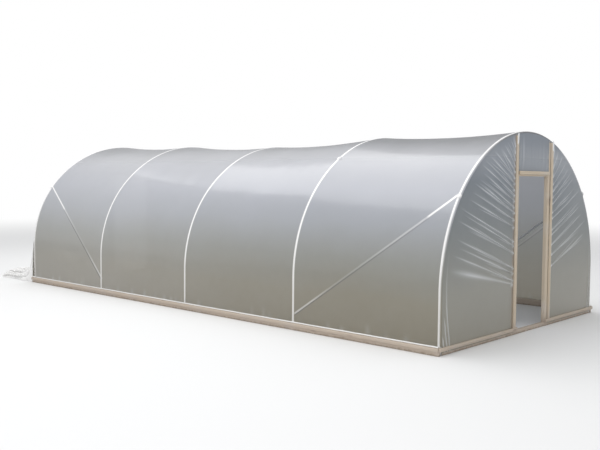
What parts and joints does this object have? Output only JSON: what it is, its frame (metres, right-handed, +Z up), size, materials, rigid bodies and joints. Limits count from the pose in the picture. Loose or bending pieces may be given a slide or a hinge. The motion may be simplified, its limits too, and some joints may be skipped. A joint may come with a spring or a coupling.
{
  "type": "polytunnel greenhouse",
  "caption": "Walk-in polytunnel: bent tube hoops under one stretched translucent film, timber base rails and door frames, open doorways.",
  "frame": {"origin": "on the ground, in the middle of the whole length with the spare film, and in the middle of the width", "axes": "+X along the tunnel towards the gable that the picture shows, +Y across it away from the long side that the picture shows, +Z up"},
  "size_m": [9.1836, 3.7732, 2.3257],
  "materials": {
    "film": "weathered translucent polythene sheet",
    "galvanised_tube": "galvanised tube",
    "clip_steel": "zinc plated clips",
    "timber": "pale sawn softwood"
  },
  "bodies": {
    "root": {"brace_couplers_left": "clip_steel", "brace_couplers_right": "clip_steel", "brace_front_left": "galvanised_tube", "brace_front_right": "galvanised_tube", "brace_rear_left": "galvanised_tube", "brace_rear_right": "galvanised_tube", "cover_bay_1": "film", "cover_bay_2": "film", "cover_bay_3": "film", "cover_bay_4": "film", "front_battens": "timber", "front_film_left": "film", "front_film_right": "film", "front_header": "timber", "front_post_left": "timber", "front_post_right": "timber", "front_rail_left": "timber", "front_rail_right": "timber", "front_threshold": "timber", "front_transom_film": "film", "hoop_1": "galvanised_tube", "hoop_2": "galvanised_tube", "hoop_3": "galvanised_tube", "hoop_4": "galvanised_tube", "hoop_5": "galvanised_tube", "rear_battens": "timber", "rear_film_left": "film", "rear_film_right": "film", "rear_header": "timber", "rear_post_left": "timber", "rear_post_right": "timber", "rear_rail_left": "timber", "rear_rail_right": "timber", "rear_threshold": "timber", "rear_transom_film": "film", "ridge_bar": "galvanised_tube", "ridge_couplers": "clip_steel", "side_batten_left": "timber", "side_batten_right": "timber", "side_rail_left_front": "timber", "side_rail_left_rear": "timber", "side_rail_right_front": "timber", "side_rail_right_rear": "timber", "spare_film": "film"}
  },
  "joints": []
}
